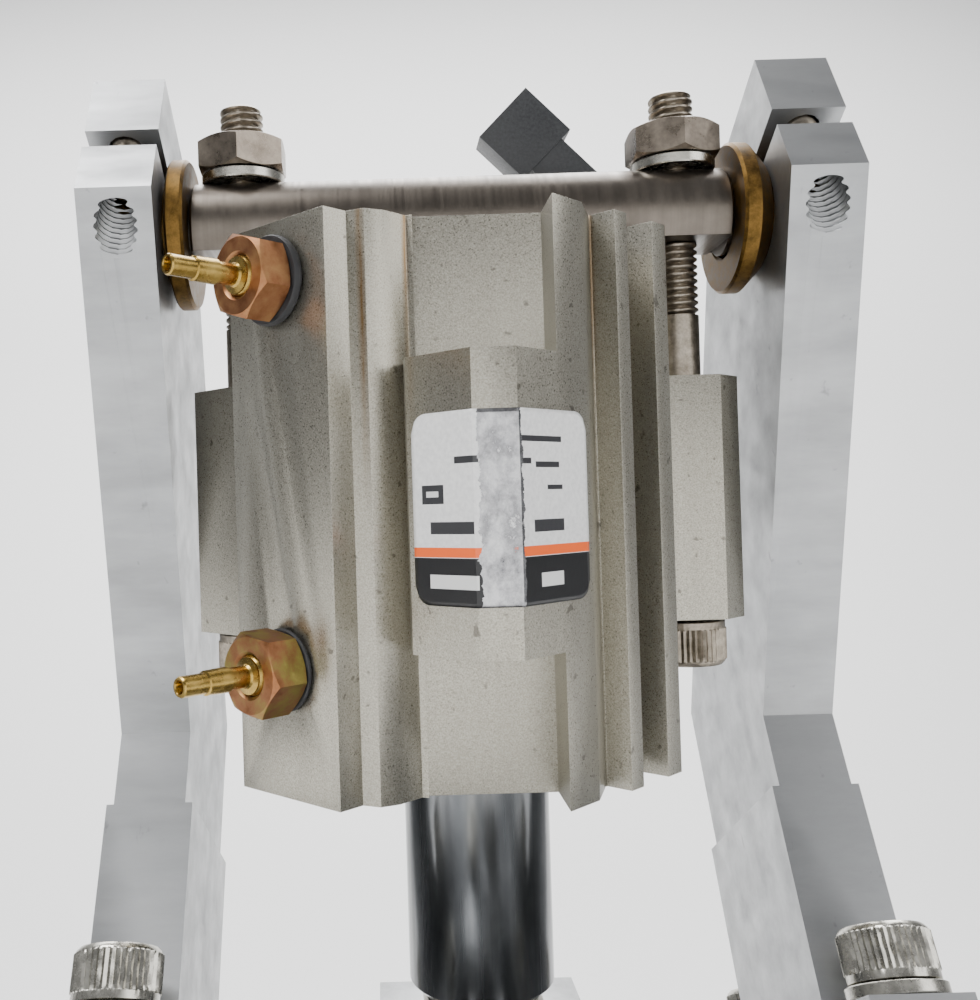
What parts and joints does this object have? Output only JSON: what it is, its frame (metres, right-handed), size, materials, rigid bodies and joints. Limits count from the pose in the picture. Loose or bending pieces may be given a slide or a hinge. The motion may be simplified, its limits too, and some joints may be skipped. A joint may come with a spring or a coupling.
{
  "type": "pneumatic gripper",
  "caption": "Angular gripper: a tilted compact air cylinder on a cross shaft between two bent arms turns a jaw lever against a fixed jaw under a palm plate.",
  "frame": {"origin": "centre of the palm plate's rear mounting face", "axes": "+Y out of the rear mounting face, +Z from the jaws towards the cylinder, X along the cross shaft"},
  "size_m": [0.092, 0.1051, 0.1998],
  "materials": {
    "milled_aluminium": "milled, fine tool marks",
    "zinc_plated_steel": "bright plated, knurled heads",
    "turned_steel": "turned, slightly warm",
    "anodised_aluminium": "warm grey anodised, satin",
    "black_rubber": "matt",
    "urethane": "cast urethane, matt",
    "bronze": "dark sintered bronze",
    "brass": "drawn brass, bright",
    "magnet": "bonded magnet, matt",
    "chromed_rod": "ground hard chrome",
    "black_plastic": "moulded, fine texture",
    "label_film": "printed film, semi gloss"
  },
  "bodies": {
    "frame": {"arm_left": "milled_aluminium", "arm_right": "milled_aluminium", "bracket_screw_left": "zinc_plated_steel", "bracket_screw_right": "zinc_plated_steel", "clamp_screw_left": "turned_steel", "clamp_screw_right": "turned_steel", "fixed_jaw": "milled_aluminium", "fixed_jaw_screw_left": "zinc_plated_steel", "fixed_jaw_screw_right": "zinc_plated_steel", "fixed_pad": "urethane", "flanged_bush_left": "bronze", "flanged_bush_right": "bronze", "foot_lock_washer_front_left": "zinc_plated_steel", "foot_lock_washer_front_right": "zinc_plated_steel", "foot_lock_washer_rear_left": "zinc_plated_steel", "foot_lock_washer_rear_right": "zinc_plated_steel", "foot_screw_front_left": "zinc_plated_steel", "foot_screw_front_right": "zinc_plated_steel", "foot_screw_rear_left": "zinc_plated_steel", "foot_screw_rear_right": "zinc_plated_steel", "palm_plate": "milled_aluminium", "pivot_bracket_left": "milled_aluminium", "pivot_bracket_right": "milled_aluminium", "pivot_clip_left": "turned_steel", "pivot_clip_right": "turned_steel", "pivot_pin": "turned_steel"},
    "cylinder": {"cross_shaft": "turned_steel", "cylinder_body": "anodised_aluminium", "fitting_seal_front": "black_rubber", "fitting_seal_rear": "black_rubber", "gland_snap_ring": "turned_steel", "hose_fitting_front": "brass", "hose_fitting_rear": "brass", "long_screw_left": "turned_steel", "long_screw_right": "turned_steel", "nut_left": "turned_steel", "nut_lock_washer_left": "zinc_plated_steel", "nut_lock_washer_right": "zinc_plated_steel", "nut_right": "turned_steel", "position_switch": "black_plastic", "rating_label": "label_film", "rear_cover": "anodised_aluminium", "rod_gland": "anodised_aluminium", "rod_seal": "black_rubber"},
    "rod": {"clevis_clip_left": "turned_steel", "clevis_clip_right": "turned_steel", "clevis_pin": "turned_steel", "magnet_ring": "magnet", "piston": "anodised_aluminium", "piston_rod": "chromed_rod", "piston_seal": "black_rubber", "rod_stud": "turned_steel", "rod_yoke": "milled_aluminium", "yoke_lock_nut": "zinc_plated_steel"},
    "jaw": {"jaw_lever": "milled_aluminium", "jaw_pad": "urethane", "lever_bush": "bronze", "pad_screw_lower": "turned_steel", "pad_screw_upper": "turned_steel"}
  },
  "joints": [
    {"name": "cylinder_swing", "type": "hinge", "parent": "frame", "child": "cylinder", "pos_m": [0, -0.08544, 0.09069], "axis": [1, 0, 0], "range_deg": [-2, 0.55]},
    {"name": "rod_slide", "type": "slide", "parent": "cylinder", "child": "rod", "axis": [0, 0.5351, -0.8448], "range_m": [-0.015, 0.004]},
    {"name": "jaw_pivot", "type": "hinge", "parent": "frame", "child": "jaw", "pos_m": [0, -0.0546, -0.01407], "axis": [1, 0, 0], "range_deg": [-8.1, 30.3]}
  ],
  "couplings": [
    {"joint": "jaw_pivot", "follows": "rod_slide", "rad_per_m": -35.1},
    {"joint": "cylinder_swing", "follows": "rod_slide", "rad_per_m": 2.297}
  ]
}
